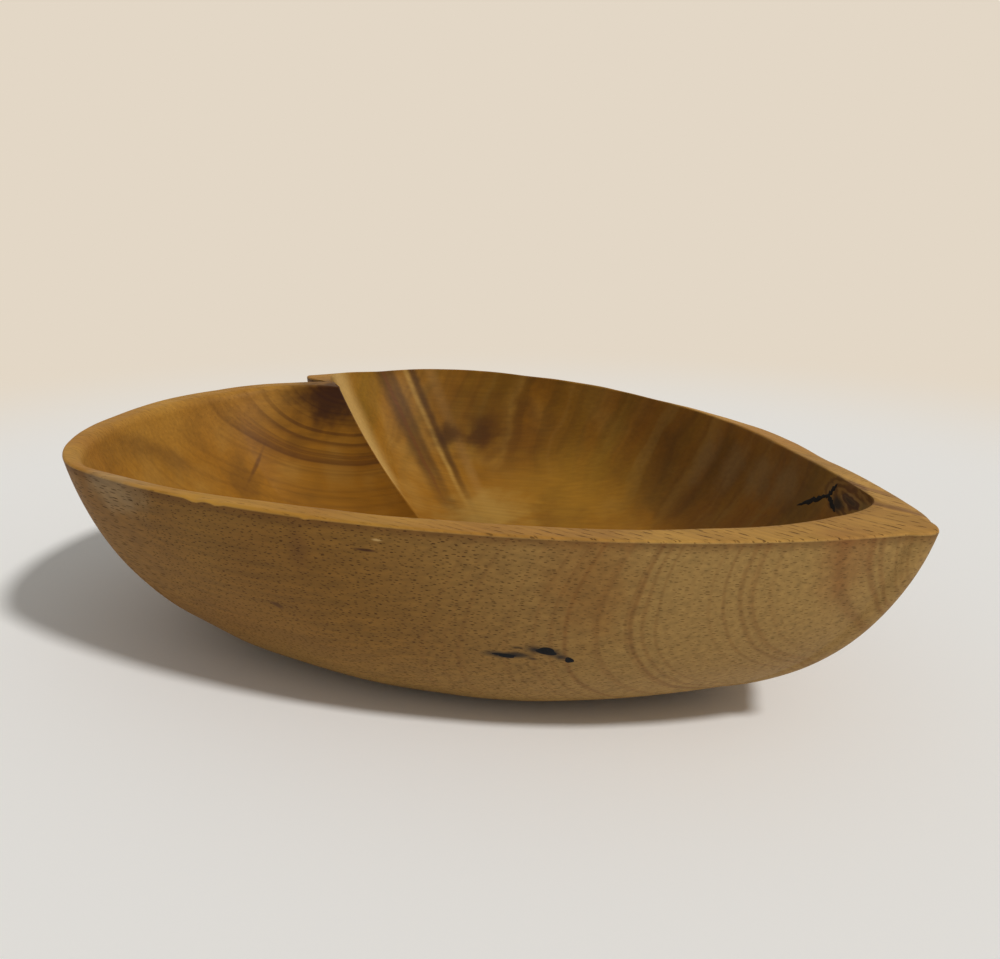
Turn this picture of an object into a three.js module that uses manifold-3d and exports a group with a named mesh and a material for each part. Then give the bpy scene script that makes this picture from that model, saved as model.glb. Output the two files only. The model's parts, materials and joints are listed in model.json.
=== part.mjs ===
// A heart-shaped wooden bowl, carved by hand from one block of open-pored hardwood.
// Inside the tip the wood holds an oval knot and a forked split packed with dark filler,
// and three small holes in the front wall are packed with the same filler.
// Millimetres, +Z up, +Y from the tip of the heart to its cleft.
// The origin is on the table, under the middle of the bowl.
import * as THREE from 'three';
import { mergeVertices } from 'three/addons/utils/BufferGeometryUtils.js';
import Module from 'manifold-3d';

// Upright sizes
const height = 69.5;
const floorThickness = 12;
const narrowRimOuterDip = 7;
const narrowRimInnerDip = 3;
const cleftCrown = 1.5;
const rimRound = 1.2;

// Heart outline of the rim, measured from the tip: the wide lobe is on -X, the narrow one on +X
const wideReach = 141;
const wideReachAt = 212;
const wideBack = 295.5;
const wideBackAt = 48;
const cleftAcross = 5;
const cleft = 272;
const narrowReach = 99;
const narrowReachAt = 200;
const narrowBack = 304.5;
const narrowBackAt = 28;
const flankAcross = 68;
const flankAlong = 86;
const tipHalfWidth = 6;
const tipRise = 4.5;

// Thickness of the rim
const wideSideWall = 5.5;
const wideBackWall = 10.5;
const cleftWall = 13;
const narrowBackWall = 7.5;
const narrowSideWall = 11;
const flankWall = 11.5;
const tipWall = 25.5;

// Where the hollow's corners lie to the side of the rim's corners
const wideBackAside = 2;
const ridgeAside = 5;
const narrowBackAside = 8;
const flankAhead = 2.5;
const tipHollowWide = 9;
const tipHollowNarrow = 17;
const tipHollowSlant = 3.5;

// Flat oval that the bowl stands on, and the oval floor inside
const baseX = -22;
const baseY = 154;
const baseHalfX = 46;
const baseHalfY = 46;
const floorX = -18;
const floorY = 146;
const floorHalfX = 40;
const floorHalfY = 46;

// Belly of the walls: 2 is an ellipse and more is squarer, and the sweep is the share of a quarter turn
const outerFullness = 2.4;
const innerFullness = 2.3;
const wallSweep = 0.82;
const outerRings = 9;
const innerRings = 9;

// The ridge that runs down inside from the cleft is a straighter slope that reaches far across the floor
const ridgeFullness = 1.5;
const ridgeSweep = 0.66;
const ridgeReach = 0.84;

// Fillings: the fit of each one in its pocket, and their sizes along, through and up the wall
const fillClearance = 0.3;
const fillDepth = 3.2;
const splitHalfWidth = 1.3;
const knotHalfLength = 9;
const knotHalfHeight = 3;
const longHole = { along: 0.432, rise: 0.648, halfLength: 3.6, halfHeight: 1.2 };
const largeHole = { along: 0.384, rise: 0.68, halfLength: 3.4, halfHeight: 1.8 };
const smallHole = { along: 0.352, rise: 0.648, halfLength: 1.6, halfHeight: 1.4 };

// Colours
const woodColour = 0xb98f61;
const knotColour = 0x6b4526;
const fillerColour = 0x17120f;

// Corners and high points of the heart, in order from the tip along the wide side and round to the tip.
// Each has its place on the rim's outer edge and on the hollow's edge, the pull of the curve before and
// after it on both edges, the direction of the base and floor points under it, and the steps to the next.
// Knots on the narrow side also say how far along that side they are.
const knots = [
  {
    rim: [-tipHalfWidth, tipRise], rimBefore: [3.5, -5], rimAfter: [-62, 31.5],
    hollow: [-tipHollowWide, tipWall], hollowBefore: [9, -2.5], hollowAfter: [-43, 6.5],
    turn: -95, steps: 18,
  },
  {
    rim: [-wideReach, wideReachAt], rimBefore: [10, -94], rimAfter: [-3, 33],
    hollow: [-wideReach + wideSideWall, wideReachAt], hollowBefore: [14, -94], hollowAfter: [-3, 27],
    turn: -203, steps: 10,
  },
  {
    rim: [-wideBackAt, wideBack], rimBefore: [-50, 0], rimAfter: [18, 0],
    hollow: [-wideBackAt + wideBackAside, wideBack - wideBackWall],
    hollowBefore: [-48, 0], hollowAfter: [16, 0],
    turn: -248, steps: 6,
  },
  {
    rim: [-cleftAcross, cleft], rimBefore: [-14, 9], rimAfter: [-8, 14],
    hollow: [-cleftAcross - ridgeAside, cleft - cleftWall], hollowBefore: [-7, 14], hollowAfter: [3, 21],
    turn: -270, steps: 6, farShare: 0,
  },
  {
    rim: [narrowBackAt, narrowBack], rimBefore: [-34, 0], rimAfter: [44, 0],
    hollow: [narrowBackAt + narrowBackAside, narrowBack - narrowBackWall],
    hollowBefore: [-24, 0], hollowAfter: [30, 0],
    turn: -282, steps: 10, farShare: 0.17,
  },
  {
    rim: [narrowReach, narrowReachAt], rimBefore: [0, 60], rimAfter: [0, -40],
    hollow: [narrowReach - narrowSideWall, narrowReachAt], hollowBefore: [0, 56], hollowAfter: [0, -38],
    turn: -358, steps: 8, farShare: 0.49,
  },
  {
    rim: [flankAcross, flankAlong], rimBefore: [18, 26], rimAfter: [-18, -26],
    hollow: [flankAcross - flankWall, flankAlong + flankAhead],
    hollowBefore: [18.5, 29.5], hollowAfter: [-12.5, -22.5],
    turn: -405, steps: 9, farShare: 0.71,
  },
  {
    rim: [tipHalfWidth, tipRise], rimBefore: [20, 13], rimAfter: [-3.5, -6.2],
    hollow: [tipHollowNarrow, tipWall + tipHollowSlant], hollowBefore: [10, 12], hollowAfter: [-5, -6.5],
    turn: -447, steps: 4,
  },
];
const fullTurn = 360;
const deepestDip = 2 / (3 * Math.sqrt(3));
const dipStart = 0.07;
const dipFull = 0.19;
const wideSide = 0;
const cleftKnot = 3;
const flank = 6;

const wasm = await Module();
wasm.setup();

// The curve of one edge from a knot to the next
function edgeCurve(index, edge) {
  const from = knots[index];
  const to = knots[(index + 1) % knots.length];
  const start = new THREE.Vector2(...from[edge]);
  const end = new THREE.Vector2(...to[edge]);
  const leave = new THREE.Vector2(...from[`${edge}After`]).add(start);
  const arrive = new THREE.Vector2(...to[`${edge}Before`]).add(end);
  return new THREE.CubicBezierCurve(start, leave, arrive, end);
}

// Everything about one upright slice of the bowl, at a share of the way from a knot to the next
function slice(index, share) {
  const from = knots[index];
  const last = index === knots.length - 1;
  const nextTurn = last ? knots[0].turn - fullTurn : knots[index + 1].turn;
  const turn = THREE.MathUtils.degToRad(THREE.MathUtils.lerp(from.turn, nextTurn, share));
  let ridge = 0;
  if (index === cleftKnot - 1) ridge = share;
  if (index === cleftKnot) ridge = 1 - share;
  let dip = 0;
  if (from.farShare !== undefined) {
    const farShare = THREE.MathUtils.lerp(from.farShare, knots[index + 1].farShare ?? 1, share);
    const setIn = THREE.MathUtils.smoothstep(farShare, dipStart, dipFull);
    dip = (setIn * Math.sqrt(farShare) * (1 - farShare)) / deepestDip;
  }
  const level = height - cleftCrown * (1 - ridge) ** 2;
  const floorShare = 1 - ridgeReach * ridge;
  return {
    rim: edgeCurve(index, 'rim').getPoint(share),
    hollow: edgeCurve(index, 'hollow').getPoint(share),
    base: new THREE.Vector2(baseX + baseHalfX * Math.cos(turn), baseY + baseHalfY * Math.sin(turn)),
    floor: new THREE.Vector2(
      floorX + floorHalfX * floorShare * Math.cos(turn),
      floorY + floorHalfY * floorShare * Math.sin(turn),
    ),
    rimTop: level - narrowRimOuterDip * dip,
    hollowTop: level - narrowRimInnerDip * dip,
    ridge,
  };
}

// How far out and up a wall has come at a share of its sweep
function belly(fullness, sweep, rise) {
  const full = (sweep * Math.PI) / 2;
  const out = Math.sin(full * rise) / Math.sin(full);
  const up = (1 - Math.cos(full * rise) ** (2 / fullness)) / (1 - Math.cos(full) ** (2 / fullness));
  return { out: out ** (2 / fullness), up };
}

function outerPoint(at, rise) {
  const { out, up } = belly(outerFullness, wallSweep, rise);
  const plan = at.base.clone().lerp(at.rim, out);
  return new THREE.Vector3(plan.x, plan.y, (at.rimTop - rimRound) * up);
}

function innerPoint(at, rise) {
  const fullness = THREE.MathUtils.lerp(innerFullness, ridgeFullness, at.ridge);
  const sweep = THREE.MathUtils.lerp(wallSweep, ridgeSweep, at.ridge);
  const { out, up } = belly(fullness, sweep, rise);
  const plan = at.floor.clone().lerp(at.hollow, out);
  const rimHeight = at.hollowTop - rimRound - floorThickness;
  return new THREE.Vector3(plan.x, plan.y, floorThickness + rimHeight * up);
}

// A point of the rim's rounded top, set in from the outer edge and down from the top
function rimPoint(at, inset, drop) {
  const share = inset / at.rim.distanceTo(at.hollow);
  const plan = at.rim.clone().lerp(at.hollow, share);
  const level = THREE.MathUtils.lerp(at.rimTop, at.hollowTop, share);
  return new THREE.Vector3(plan.x, plan.y, level - drop);
}

const slices = knots.flatMap((knot, index) =>
  Array.from({ length: knot.steps }, (_, step) => slice(index, step / knot.steps)),
);

// Rings from the base up the outside, over the rim and down the inside to the floor
function bodyRings() {
  const softening = rimRound * (1 - Math.SQRT1_2);
  const rings = [];
  for (let ring = 0; ring <= outerRings; ring += 1) {
    rings.push(slices.map((at) => outerPoint(at, ring / outerRings)));
  }
  rings.push(slices.map((at) => rimPoint(at, softening, softening)));
  rings.push(slices.map((at) => rimPoint(at, rimRound, 0)));
  rings.push(slices.map((at) => rimPoint(at, at.rim.distanceTo(at.hollow) - rimRound, 0)));
  rings.push(slices.map((at) => rimPoint(at, at.rim.distanceTo(at.hollow) - softening, softening)));
  for (let ring = innerRings; ring >= 0; ring -= 1) {
    rings.push(slices.map((at) => innerPoint(at, ring / innerRings)));
  }
  return rings;
}

// A closed skin over rings of points, with a middle point at each end
function loft(rings, firstMiddle, lastMiddle) {
  const count = rings[0].length;
  const points = [firstMiddle, ...rings.flat(), lastMiddle];
  const corner = (ring, step) => 1 + ring * count + (step % count);
  const faces = [];
  for (let step = 0; step < count; step += 1) {
    faces.push(0, corner(0, step), corner(0, step + 1));
    for (let ring = 0; ring < rings.length - 1; ring += 1) {
      faces.push(corner(ring, step), corner(ring + 1, step), corner(ring, step + 1));
      faces.push(corner(ring, step + 1), corner(ring + 1, step), corner(ring + 1, step + 1));
    }
    faces.push(corner(rings.length - 1, step), points.length - 1, corner(rings.length - 1, step + 1));
  }
  const geometry = new THREE.BufferGeometry().setFromPoints(points);
  geometry.setIndex(faces);
  return geometry;
}

function solid(geometry) {
  const bare = geometry.clone();
  bare.deleteAttribute('normal');
  bare.deleteAttribute('uv');
  const merged = mergeVertices(bare);
  const mesh = new wasm.Mesh({
    numProp: 3,
    vertProperties: new Float32Array(merged.attributes.position.array),
    triVerts: new Uint32Array(merged.index.array),
  });
  return new wasm.Manifold(mesh);
}

function skin(manifold) {
  const mesh = manifold.getMesh();
  const geometry = new THREE.BufferGeometry();
  geometry.setAttribute('position', new THREE.BufferAttribute(mesh.vertProperties, 3));
  geometry.setIndex(new THREE.BufferAttribute(mesh.triVerts, 1));
  geometry.computeVertexNormals();
  return geometry;
}

// An egg-shaped pocket between two points of a wall, with its depth across the wall
function egg(from, to, outward, halfLength, halfHeight, depth) {
  const along = to.clone().sub(from).normalize();
  const up = outward.clone().cross(along).normalize();
  const through = up.clone().cross(along);
  const basis = new THREE.Matrix4().makeBasis(
    along.multiplyScalar(halfLength),
    through.multiplyScalar(depth),
    up.multiplyScalar(halfHeight),
  );
  basis.setPosition(from.clone().add(to).multiplyScalar(0.5));
  const sphere = new THREE.SphereGeometry(1, 14, 8);
  return solid(sphere.applyMatrix4(basis));
}

// Direction out of a wall at a point, from its neighbours a small step along and up
const probe = 0.02;
function wallNormal(pointAt, index, along, rise) {
  const here = pointAt(slice(index, along), rise);
  const beside = pointAt(slice(index, along + probe), rise).sub(here);
  const above = pointAt(slice(index, along), rise - probe).sub(here);
  return beside.cross(above).normalize();
}

// Small hole in the outside of the front wall, grown by a clearance for its pocket
function frontHole(hole, growth) {
  const left = outerPoint(slice(wideSide, hole.along - probe), hole.rise);
  const right = outerPoint(slice(wideSide, hole.along + probe), hole.rise);
  const outward = wallNormal(outerPoint, wideSide, hole.along, hole.rise);
  return egg(left, right, outward, hole.halfLength + growth, hole.halfHeight + growth, fillDepth + growth);
}

// The split inside the tip: one long crack and two short ones that leave its middle
const splitEnds = [
  { from: [0.36, 0.85], to: [0.6, 0.945] },
  { from: [0.575, 0.925], to: [0.625, 0.985] },
  { from: [0.575, 0.94], to: [0.7, 0.905] },
];
function tipSplit(growth) {
  const cracks = splitEnds.map(({ from, to }) => {
    const start = innerPoint(slice(flank, from[0]), from[1]);
    const end = innerPoint(slice(flank, to[0]), to[1]);
    const outward = wallNormal(innerPoint, flank, from[0], from[1]);
    const halfLength = start.distanceTo(end) / 2 + growth;
    return egg(start, end, outward, halfLength, splitHalfWidth + growth, fillDepth + growth);
  });
  return cracks.reduce((whole, crack) => whole.add(crack));
}

// The knot beside the split, an oval close under the rim at the tip
const knotAt = { along: 0.8, rise: 0.955 };
function tipKnot(growth) {
  const left = innerPoint(slice(flank, knotAt.along - probe), knotAt.rise);
  const right = innerPoint(slice(flank, knotAt.along + probe), knotAt.rise);
  const outward = wallNormal(innerPoint, flank, knotAt.along, knotAt.rise);
  return egg(left, right, outward, knotHalfLength + growth, knotHalfHeight + growth, fillDepth + growth);
}

const baseMiddle = new THREE.Vector3(baseX, baseY, 0);
const floorMiddle = new THREE.Vector3(floorX, floorY, floorThickness);
const block = solid(loft(bodyRings(), baseMiddle, floorMiddle));

const fillings = [
  { name: 'tip_knot', shape: tipKnot, colour: knotColour, roughness: 0.6 },
  { name: 'tip_split_fill', shape: tipSplit, colour: fillerColour, roughness: 0.75 },
  { name: 'front_fill_long', shape: (growth) => frontHole(longHole, growth) },
  { name: 'front_fill_large', shape: (growth) => frontHole(largeHole, growth) },
  { name: 'front_fill_small', shape: (growth) => frontHole(smallHole, growth) },
];

let body = block;
for (const filling of fillings) body = body.subtract(filling.shape(fillClearance));

const bowl = new THREE.Group();
const wood = new THREE.MeshStandardMaterial({ color: woodColour, roughness: 0.55, metalness: 0 });
const bodyMesh = new THREE.Mesh(skin(body), wood);
bodyMesh.name = 'bowl_body';
bowl.add(bodyMesh);
for (const { name, shape, colour = fillerColour, roughness = 0.45 } of fillings) {
  const material = new THREE.MeshStandardMaterial({ color: colour, roughness, metalness: 0 });
  const mesh = new THREE.Mesh(skin(block.intersect(shape(0))), material);
  mesh.name = name;
  bowl.add(mesh);
}

// The outline is measured from the tip, so the group moves back by the middle of its box
const extent = new THREE.Box3().setFromObject(bodyMesh);
bowl.position.set(-(extent.min.x + extent.max.x) / 2, -(extent.min.y + extent.max.y) / 2, 0);

export default bowl;
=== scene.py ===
# %% [markdown]
# A heart-shaped bowl, carved by hand from one block of open-pored hardwood.
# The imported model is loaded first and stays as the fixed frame. Everything below is made in metres,
# in the same frame: +Z is up, +Y runs from the tip of the heart to its cleft, and the wide lobe is on -X.

# %% Load the frame
import json
import math
import random
from functools import partial
import bmesh
import bpy
import numpy as np
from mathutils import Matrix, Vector
from mathutils.bvhtree import BVHTree

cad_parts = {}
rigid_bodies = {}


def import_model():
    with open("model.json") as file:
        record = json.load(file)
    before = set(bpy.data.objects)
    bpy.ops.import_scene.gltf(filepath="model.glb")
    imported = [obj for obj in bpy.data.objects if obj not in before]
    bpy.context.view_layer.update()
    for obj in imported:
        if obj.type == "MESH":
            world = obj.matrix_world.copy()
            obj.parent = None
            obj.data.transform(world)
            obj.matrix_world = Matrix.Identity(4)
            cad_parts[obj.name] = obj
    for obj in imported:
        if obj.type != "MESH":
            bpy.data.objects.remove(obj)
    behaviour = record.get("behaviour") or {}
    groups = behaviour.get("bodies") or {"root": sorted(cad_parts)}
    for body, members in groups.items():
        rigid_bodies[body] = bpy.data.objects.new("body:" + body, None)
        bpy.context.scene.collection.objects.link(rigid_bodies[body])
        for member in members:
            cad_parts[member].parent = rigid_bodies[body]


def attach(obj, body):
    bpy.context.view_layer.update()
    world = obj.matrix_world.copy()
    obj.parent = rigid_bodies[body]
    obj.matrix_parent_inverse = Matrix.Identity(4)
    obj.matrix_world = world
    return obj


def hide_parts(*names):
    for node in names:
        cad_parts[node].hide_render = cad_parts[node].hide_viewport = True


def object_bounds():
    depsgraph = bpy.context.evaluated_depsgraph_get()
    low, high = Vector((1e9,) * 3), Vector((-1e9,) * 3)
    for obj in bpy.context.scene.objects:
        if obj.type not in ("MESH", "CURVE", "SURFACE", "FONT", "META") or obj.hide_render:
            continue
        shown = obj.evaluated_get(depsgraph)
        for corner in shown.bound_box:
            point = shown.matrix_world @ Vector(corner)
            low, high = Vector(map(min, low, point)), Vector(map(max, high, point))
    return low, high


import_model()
cad_low, cad_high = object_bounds()
MM = 0.001
print("CAD box in mm:", [round(v / MM, 1) for v in (*cad_low, *cad_high)])

# %% [markdown]
# The rim of a carved heart is two lobes, a cleft and a tip. It could be traced as many points, but eight
# corners with pulled curves between them are enough, as a carver would mark them on the block.
# The outer edge and the edge of the hollow have the same corners, so every upright slice of the wall
# knows both of its edges, the point of the flat base below it and the point of the floor inside.

# %% Corners of the heart, in mm from the tip
# Turn is the direction from the middle of the base in degrees, part is the share of the steps up to the next
# corner, and far is how much of the far rim, which dips, lies behind a corner.
STEPS_PER_TURN = 600
CORNER = ("turn", "part", "rim", "rim_before", "rim_after", "hollow", "hollow_before", "hollow_after", "far")
HEART = [dict(zip(CORNER, row)) for row in (
    (-95, 0.27, (-6, 4.5), (3.5, -5), (-62, 31.5), (-9, 25.5), (9, -2.5), (-43, 6.5)),
    (-203, 0.16, (-141, 212), (10, -94), (-3, 33), (-135.5, 212), (14, -94), (-3, 27)),
    (-248, 0.09, (-48, 295.5), (-50, 0), (18, 0), (-46, 285), (-48, 0), (16, 0)),
    (-270, 0.09, (-5, 272), (-14, 9), (-8, 14), (-10, 259), (-7, 14), (3, 21), 0.0),
    (-282, 0.14, (28, 304.5), (-34, 0), (44, 0), (36, 297), (-24, 0), (30, 0), 0.17),
    (-358, 0.11, (99, 200), (0, 60), (0, -40), (88, 200), (0, 56), (0, -38), 0.49),
    (-405, 0.11, (68, 86), (18, 26), (-18, -26), (56.5, 88.5), (18.5, 29.5), (-12.5, -22.5), 0.71),
    (-447, 0.03, (6, 4.5), (20, 13), (-3.5, -6.2), (17, 29), (10, 12), (-5, -6.5)),
)]
WIDE_SIDE, CLEFT, FLANK = 0, 3, 6
HEIGHT = (cad_high.z - cad_low.z) / MM
FLOOR_THICKNESS = 12
CLEFT_CROWN = 1.5
NARROW_RIM_OUTER_DIP, NARROW_RIM_INNER_DIP = 7, 3
DEEPEST_DIP, DIP_START, DIP_FULL = 2 / (3 * math.sqrt(3)), 0.07, 0.19
RIM_ROUND, WIDE_HOLLOW_ROUND, WORN_FROM, WORN_TO = 0.8, 4.0, 0.56, 0.96
BASE_MIDDLE, BASE_HALF = np.array((-22.0, 154.0)), np.array((46.0, 46.0))
FLOOR_MIDDLE, FLOOR_HALF = np.array((-18.0, 146.0)), np.array((40.0, 46.0))
OUTER_FULLNESS, INNER_FULLNESS, WALL_SWEEP = 2.4, 2.3, 0.82
RIDGE_FULLNESS, RIDGE_SWEEP, RIDGE_REACH = 1.5, 0.66, 0.84
print("corners of the heart:", len(HEART), "height in mm:", round(HEIGHT, 1))

# %% [markdown]
# A slice is worked out for many places at once, as arrays. The walls are bellied like a part of a
# superellipse, so they leave the flat base gently and stand up steeply at the rim. At the cleft the inner
# wall changes to a straighter slope that reaches across the floor, which leaves the crisp ridge inside.

# %% Slices and walls
def soft_step(value, low, high):
    """From 0 at the low value to 1 at the high one, with no kink at either."""
    t = np.clip((value - low) / (high - low), 0, 1)
    return t**2 * (3 - 2 * t)


def along_edge(index, edge, share):
    start, leave = np.array(HEART[index][edge]), np.array(HEART[index][edge + "_after"])
    following = HEART[(index + 1) % len(HEART)]
    end, arrive = np.array(following[edge]), np.array(following[edge + "_before"])
    t = np.atleast_1d(share)[:, None]
    near = (1 - t) ** 3 * start + 3 * (1 - t) ** 2 * t * (start + leave)
    return near + 3 * (1 - t) * t**2 * (end + arrive) + t**3 * end


def slices(index, share):
    share = np.atleast_1d(np.asarray(share, float))
    none = np.zeros_like(share)
    corner, following = HEART[index], HEART[(index + 1) % len(HEART)]
    next_turn = following["turn"] - (360 if index == len(HEART) - 1 else 0)
    turn = np.radians(corner["turn"] + (next_turn - corner["turn"]) * share)
    ring = np.stack([np.cos(turn), np.sin(turn)], 1)
    ridge = {CLEFT - 1: share, CLEFT: 1 - share}.get(index, none)
    worn = {
        WIDE_SIDE: soft_step(share, WORN_FROM, WORN_TO),
        WIDE_SIDE + 1: none + 1,
        CLEFT - 1: soft_step(1 - share, 0, 1),
    }.get(index, none)
    dip = none
    if "far" in corner:
        far = corner["far"] + (following.get("far", 1.0) - corner["far"]) * share
        dip = soft_step(far, DIP_START, DIP_FULL) * np.sqrt(far) * (1 - far) / DEEPEST_DIP
    level = HEIGHT - CLEFT_CROWN * (1 - ridge) ** 2
    return dict(
        rim=along_edge(index, "rim", share),
        hollow=along_edge(index, "hollow", share),
        base=BASE_MIDDLE + BASE_HALF * ring,
        floor=FLOOR_MIDDLE + FLOOR_HALF * ring * (1 - RIDGE_REACH * ridge)[:, None],
        rim_level=level - NARROW_RIM_OUTER_DIP * dip,
        hollow_level=level - NARROW_RIM_INNER_DIP * dip,
        hollow_round=RIM_ROUND + (WIDE_HOLLOW_ROUND - RIM_ROUND) * worn,
        ridge=ridge,
    )


def belly(fullness, sweep, rise):
    full = sweep * np.pi / 2
    out = (np.sin(full * rise) / np.sin(full)) ** (2 / fullness)
    up = (1 - np.cos(full * rise) ** (2 / fullness)) / (1 - np.cos(full) ** (2 / fullness))
    return out, up


def outer_wall(cut, rise):
    out, up = belly(OUTER_FULLNESS, WALL_SWEEP, rise)
    plan = cut["base"] + (cut["rim"] - cut["base"]) * out
    return np.column_stack([plan, (cut["rim_level"] - RIM_ROUND) * up])


def inner_wall(cut, rise):
    fullness = INNER_FULLNESS + (RIDGE_FULLNESS - INNER_FULLNESS) * cut["ridge"]
    sweep = WALL_SWEEP + (RIDGE_SWEEP - WALL_SWEEP) * cut["ridge"]
    out, up = belly(fullness, sweep, rise)
    plan = cut["floor"] + (cut["hollow"] - cut["floor"]) * out[:, None]
    wall_height = cut["hollow_level"] - cut["hollow_round"] - FLOOR_THICKNESS
    return np.column_stack([plan, FLOOR_THICKNESS + wall_height * up])


def rim_top(cut, inset, drop):
    share = np.atleast_1d(inset) / np.linalg.norm(cut["hollow"] - cut["rim"], axis=1)
    plan = cut["rim"] + (cut["hollow"] - cut["rim"]) * share[:, None]
    level = cut["rim_level"] + (cut["hollow_level"] - cut["rim_level"]) * share
    return np.column_stack([plan, level - drop])


parts = [
    slices(i, np.arange(n := round(STEPS_PER_TURN * c["part"])) / n) for i, c in enumerate(HEART)
]
cut = {key: np.concatenate([p[key] for p in parts]) for key in parts[0]}
outline_low, outline_high = cut["rim"].min(0), cut["rim"].max(0)
cad_middle = np.array(((cad_low.x + cad_high.x) / 2, (cad_low.y + cad_high.y) / 2)) / MM
SHIFT = np.append(cad_middle - (outline_low + outline_high) / 2, 0.0)
print("slices round the bowl:", len(cut["ridge"]), "outline in mm:", np.round(outline_high - outline_low, 1))

# %% [markdown]
# The body is one skin from the middle of the base, up the outside, over the rounded rim and down the
# inside to the middle of the floor. A boolean of two hearts would give the same shape with poor faces,
# so the rings are joined by hand into even quads. Small chips are pressed into the rim on the way, and
# the inner edge of the wide lobe is worn round.
# Each point also keeps four values for the wood: how far it is on the rim and in the hollow, from 0 to 1,
# how far round the bowl it is from the cleft, and where it is on the outer wall: along it and up it.

# %% Rings of the body
OUTER_RINGS, INNER_RINGS, FLAT_RINGS, RIM_TOP_RINGS, ROUND_STEPS = 40, 40, 7, 6, 4
CHIPS = [(WIDE_SIDE, 0.80, 3.2, 0.7), (WIDE_SIDE, 0.77, 2.4, 0.5), (WIDE_SIDE, 0.66, 1.8, 0.4)]


def outside_rings():
    flat = np.zeros_like(cut["ridge"])
    rings = []
    for k in range(1, FLAT_RINGS):
        rings.append(np.column_stack([BASE_MIDDLE + (cut["base"] - BASE_MIDDLE) * k / FLAT_RINGS, flat]))
    return rings + [outer_wall(cut, k / OUTER_RINGS) for k in range(OUTER_RINGS + 1)]


def rim_rings():
    rings = []
    width = np.linalg.norm(cut["hollow"] - cut["rim"], axis=1)
    corner = [math.pi / 2 * k / ROUND_STEPS for k in range(1, ROUND_STEPS + 1)]
    for a in corner:
        inset = np.full_like(width, RIM_ROUND * (1 - math.cos(a)))
        rings.append(rim_top(cut, inset, RIM_ROUND * (1 - math.sin(a))))
    soft = cut["hollow_round"]
    for k in range(1, RIM_TOP_RINGS):
        rings.append(rim_top(cut, RIM_ROUND + (width - RIM_ROUND - soft) * k / RIM_TOP_RINGS, 0.0))
    for a in reversed(corner):
        rings.append(rim_top(cut, width - soft * (1 - math.cos(a)), soft * (1 - math.sin(a))))
    return rings


def inside_rings():
    rings = [inner_wall(cut, k / INNER_RINGS) for k in range(INNER_RINGS, -1, -1)]
    floor = np.full_like(cut["ridge"], FLOOR_THICKNESS)
    for k in range(FLAT_RINGS - 1, 0, -1):
        rings.append(np.column_stack([FLOOR_MIDDLE + (cut["floor"] - FLOOR_MIDDLE) * k / FLAT_RINGS, floor]))
    return rings


def press_chip(points, index, share, radius, depth):
    place = rim_top(slices(index, share), 0.0, RIM_ROUND)[0]
    away = np.linalg.norm(points - place, axis=1)
    points[:, 2] -= depth * np.clip(1 - (away / radius) ** 2, 0, None)


outside, rim, inside = outside_rings(), rim_rings(), inside_rings()
print("rings outside, on the rim and inside:", len(outside), len(rim), len(inside))

# %% Skin of the body
LONG_PORES_FROM, LONG_PORES = 30.0, 0.35
WORN_RINGS = 9
cleft_step = int(np.argmax(cut["ridge"]))


def mesh_object(name, points, faces):
    mesh = bpy.data.meshes.new(name)
    mesh.from_pydata([tuple(p) for p in points], [], faces)
    mesh.polygons.foreach_set("use_smooth", [True] * len(mesh.polygons))
    mesh.update()
    made = bpy.data.objects.new(name, mesh)
    bpy.context.scene.collection.objects.link(made)
    return made


def round_from_cleft():
    """Distance in mm along the hollow's edge, from the cleft: below zero on the wide side."""
    steps = np.linalg.norm(np.roll(cut["hollow"], -1, axis=0) - cut["hollow"], axis=1)
    along = np.concatenate([[0.0], np.cumsum(steps)[:-1]])
    return along - along[cleft_step]


def on_outer_wall():
    """Distances in mm on the outside: along each ring from the bowl's middle, and up the wall. Further along
    the first grows more slowly, for longer pores."""
    rings = np.array(outside)
    steps = np.linalg.norm(np.roll(rings, -1, axis=1) - rings, axis=2)
    along = np.cumsum(steps, axis=1) - steps
    ahead = rings[:, :, 1] < BASE_MIDDLE[1]
    for row, front in zip(along, ahead):
        row[:cleft_step] -= row[front[:cleft_step].sum()]
        row[cleft_step:] = row[-front[cleft_step:].sum()] - row[cleft_step:]
    along = np.minimum(along, LONG_PORES_FROM) + LONG_PORES * np.clip(along - LONG_PORES_FROM, 0, None)
    rises = np.linalg.norm(np.diff(rings, axis=0, prepend=rings[:1]), axis=2).mean(axis=1)
    up = np.repeat(np.cumsum(rises)[:, None], along.shape[1], axis=1)
    return np.stack([along, up, np.zeros_like(along)], 2).reshape(-1, 3)


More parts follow.
